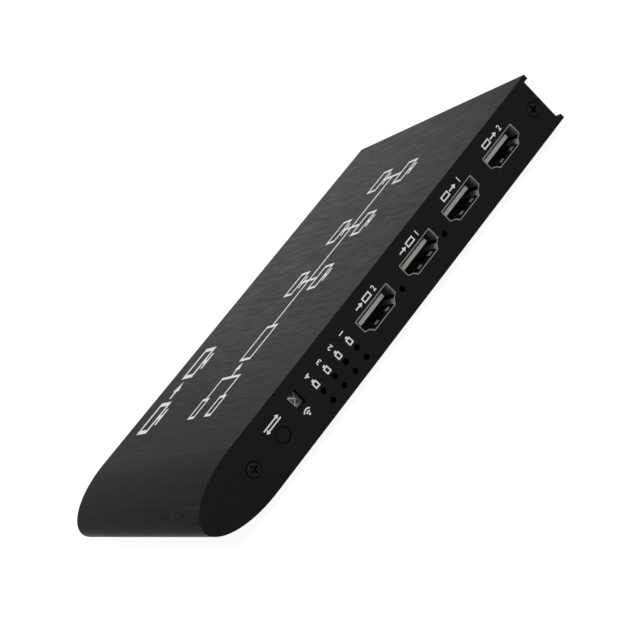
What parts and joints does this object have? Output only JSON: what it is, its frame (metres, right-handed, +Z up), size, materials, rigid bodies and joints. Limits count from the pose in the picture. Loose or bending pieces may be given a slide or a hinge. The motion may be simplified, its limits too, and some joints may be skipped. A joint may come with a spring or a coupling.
{
  "type": "hdmi extender",
  "caption": "Flat aluminium box that switches video and sends it over network cable: video sockets, lamps, receiver window and push button in front, network jacks and power inlet behind.",
  "frame": {"origin": "under the middle of the box, on the plane that its feet stand on", "axes": "+X to the right along the front, from the rounded end to the lips; +Y from the front to the rear; +Z up"},
  "size_m": [0.162, 0.1046, 0.0194],
  "materials": {
    "case_aluminium": "brushed, anodised dark grey",
    "plate_black": "satin black anodised",
    "screw_black": "black zinc",
    "foot_rubber": "matt",
    "board_mask": "solder mask",
    "film_plastic": "satin film",
    "plated_steel": "nickel plated",
    "tongue_plastic": "moulded",
    "contact_gold": "gold flash",
    "jack_plastic": "moulded",
    "button_plastic": "moulded",
    "lamp_resin": "clear resin, dark when off",
    "receiver_resin": "dark resin",
    "chip_resin": "moulded",
    "sink_aluminium": "black anodised",
    "pad_silicone": "soft silicone",
    "crystal_steel": "satin",
    "ferrite": "sintered",
    "can_aluminium": "satin"
  },
  "bodies": {
    "case": {"housing_sleeve": "case_aluminium", "front_plate": "plate_black", "rear_plate": "plate_black", "front_plate_screws": "screw_black", "rear_plate_screws": "screw_black", "rubber_feet": "foot_rubber", "main_board": "board_mask", "insulating_film": "film_plastic", "link_lamps": "lamp_resin", "input_lamps": "lamp_resin", "switch_body": "jack_plastic", "switch_dome": "plated_steel", "switch_terminals": "plated_steel", "ir_shield": "plated_steel", "ir_receiver": "receiver_resin", "ir_leads": "plated_steel", "dc_jack_housing": "jack_plastic", "dc_jack_pin": "plated_steel", "dc_jack_spring": "plated_steel", "matrix_chip": "chip_resin", "thermal_pad": "pad_silicone", "heatsink": "sink_aluminium", "sender_chips": "chip_resin", "signal_transformers": "chip_resin", "control_chip": "chip_resin", "crystal": "crystal_steel", "power_inductors": "ferrite", "capacitors": "can_aluminium", "video_in_2_shell": "plated_steel", "video_in_2_insulator": "tongue_plastic", "video_in_2_contacts": "contact_gold", "video_in_1_shell": "plated_steel", "video_in_1_insulator": "tongue_plastic", "video_in_1_contacts": "contact_gold", "video_out_1_shell": "plated_steel", "video_out_1_insulator": "tongue_plastic", "video_out_1_contacts": "contact_gold", "video_out_2_shell": "plated_steel", "video_out_2_insulator": "tongue_plastic", "video_out_2_contacts": "contact_gold", "link_1_shield": "plated_steel", "link_1_housing": "jack_plastic", "link_1_contacts": "contact_gold", "link_2_shield": "plated_steel", "link_2_housing": "jack_plastic", "link_2_contacts": "contact_gold", "link_3_shield": "plated_steel", "link_3_housing": "jack_plastic", "link_3_contacts": "contact_gold", "link_4_shield": "plated_steel", "link_4_housing": "jack_plastic", "link_4_contacts": "contact_gold"},
    "button": {"switch_cap": "button_plastic", "switch_plunger": "jack_plastic"}
  },
  "joints": [
    {"name": "button_press", "type": "slide", "parent": "case", "child": "button", "axis": [0, 1, 0], "range_m": [0, 0.0003], "stiffness_N_per_m": 2000, "springref_m": -0.0002}
  ]
}
